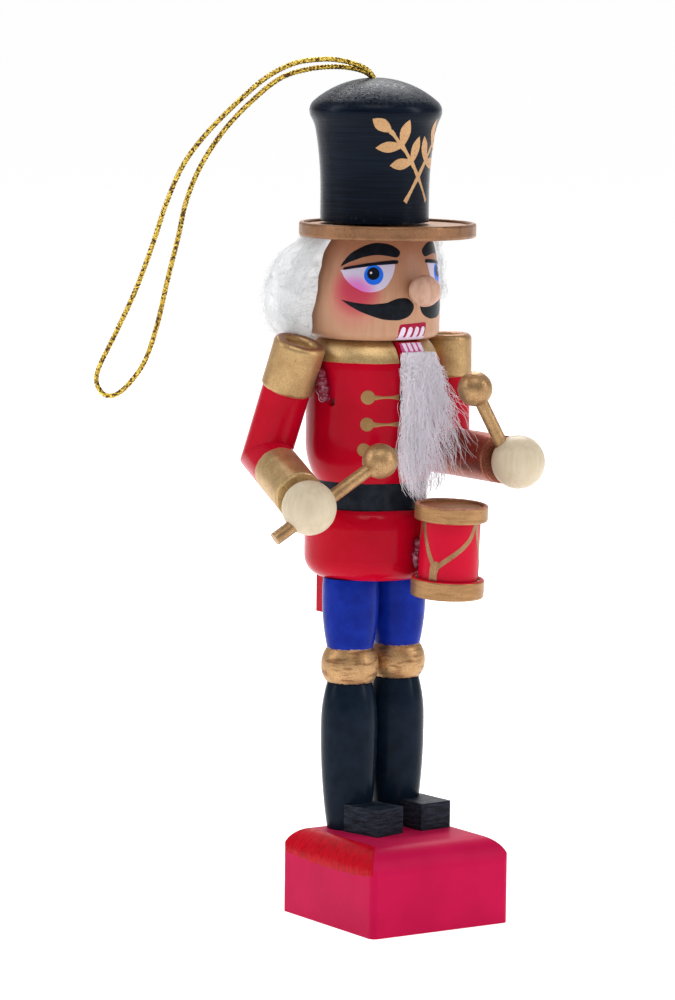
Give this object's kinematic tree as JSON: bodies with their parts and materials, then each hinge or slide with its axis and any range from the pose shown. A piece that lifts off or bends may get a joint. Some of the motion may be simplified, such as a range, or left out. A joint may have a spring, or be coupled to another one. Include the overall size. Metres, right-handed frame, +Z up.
{
  "type": "nutcracker ornament",
  "caption": "Hanging nutcracker drummer ornament of turned, painted wood on a square block, with fleece hair and beard, a hinged jaw lever and a gold hanging cord.",
  "frame": {"origin": "middle of the base block's underside", "axes": "+Z up through the figure, -Y toward the side that the figure faces, +X toward the figure's left hand"},
  "size_m": [0.0527, 0.0452, 0.1281],
  "materials": {
    "base": "gloss red paint",
    "leg_right": "painted blue, gold and black",
    "leg_left": "painted blue, gold and black",
    "shoe_right": "painted black, rough sawn",
    "shoe_left": "painted black, rough sawn",
    "torso": "gloss red paint with gold trim",
    "jaw_lever": "gloss red paint",
    "pivot_pin": "plain wire",
    "head": "clear lacquer over bare wood, painted face",
    "nose": "clear lacquer",
    "neck_dowel": "raw",
    "hat_brim": "metallic gold paint",
    "hat_crown": "satin black paint",
    "hat_dowel": "raw",
    "upper_arm_right": "gloss red paint, gold shoulder",
    "upper_arm_left": "gloss red paint, gold shoulder",
    "forearm_right": "red with a metallic gold cuff",
    "forearm_left": "red with a metallic gold cuff",
    "hand_right": "clear lacquer",
    "hand_left": "clear lacquer",
    "drumstick_right": "stained",
    "drumstick_left": "stained",
    "drumstick_ball_right": "stained",
    "drumstick_ball_left": "stained",
    "drum": "red paint with metallic gold rims",
    "shoulder_glue": "dried glue",
    "drum_glue": "dried glue",
    "hair": "white fleece",
    "beard": "white fleece",
    "hanging_cord": "metallic gold cord"
  },
  "bodies": {
    "figure": {"base": "base", "leg_right": "leg_right", "leg_left": "leg_left", "shoe_right": "shoe_right", "shoe_left": "shoe_left", "torso": "torso", "pivot_pin": "pivot_pin", "head": "head", "nose": "nose", "neck_dowel": "neck_dowel", "hat_brim": "hat_brim", "hat_crown": "hat_crown", "hat_dowel": "hat_dowel", "upper_arm_right": "upper_arm_right", "upper_arm_left": "upper_arm_left", "forearm_right": "forearm_right", "forearm_left": "forearm_left", "hand_right": "hand_right", "hand_left": "hand_left", "drumstick_right": "drumstick_right", "drumstick_left": "drumstick_left", "drumstick_ball_right": "drumstick_ball_right", "drumstick_ball_left": "drumstick_ball_left", "drum": "drum", "shoulder_glue": "shoulder_glue", "drum_glue": "drum_glue", "hair": "hair", "hanging_cord": "hanging_cord"},
    "jaw": {"jaw_lever": "jaw_lever", "beard": "beard"}
  },
  "joints": [
    {"name": "jaw_hinge", "type": "hinge", "parent": "figure", "child": "jaw", "pos_m": [0.00017, 0.00531, 0.0775], "axis": [0.9976, 0.0698, 0], "range_deg": [0, 18], "deforming": ["beard"]}
  ]
}
